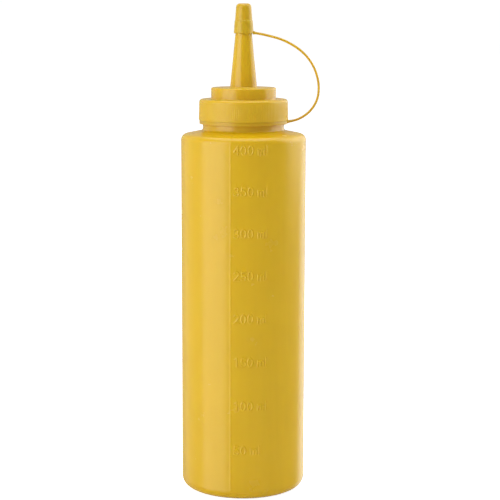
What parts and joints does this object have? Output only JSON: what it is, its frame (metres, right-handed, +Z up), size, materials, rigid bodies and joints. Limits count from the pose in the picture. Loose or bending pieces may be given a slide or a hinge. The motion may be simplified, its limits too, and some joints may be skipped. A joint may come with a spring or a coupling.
{
  "type": "squeeze bottle",
  "caption": "Tall round plastic squeeze bottle for sauces, with a low shoulder, a screw collar, a tapered nozzle and a tip cap kept on the neck by a thin strap.",
  "frame": {"origin": "middle of the flat base that the bottle stands on", "axes": "+Z up along the bottle's axis to the nozzle, +X towards the bow of the cap's strap, -Y towards the face with the volume scale"},
  "size_m": [0.0643, 0.058, 0.227],
  "materials": {
    "bottle_plastic": "satin blow-moulded yellow polyethylene",
    "cap_plastic": "satin injection-moulded yellow polyethylene",
    "strap_plastic": "satin injection-moulded yellow polyethylene"
  },
  "bodies": {
    "root": {"bottle": "bottle_plastic", "nozzle_cap": "cap_plastic", "tip_cap": "strap_plastic"}
  },
  "joints": []
}
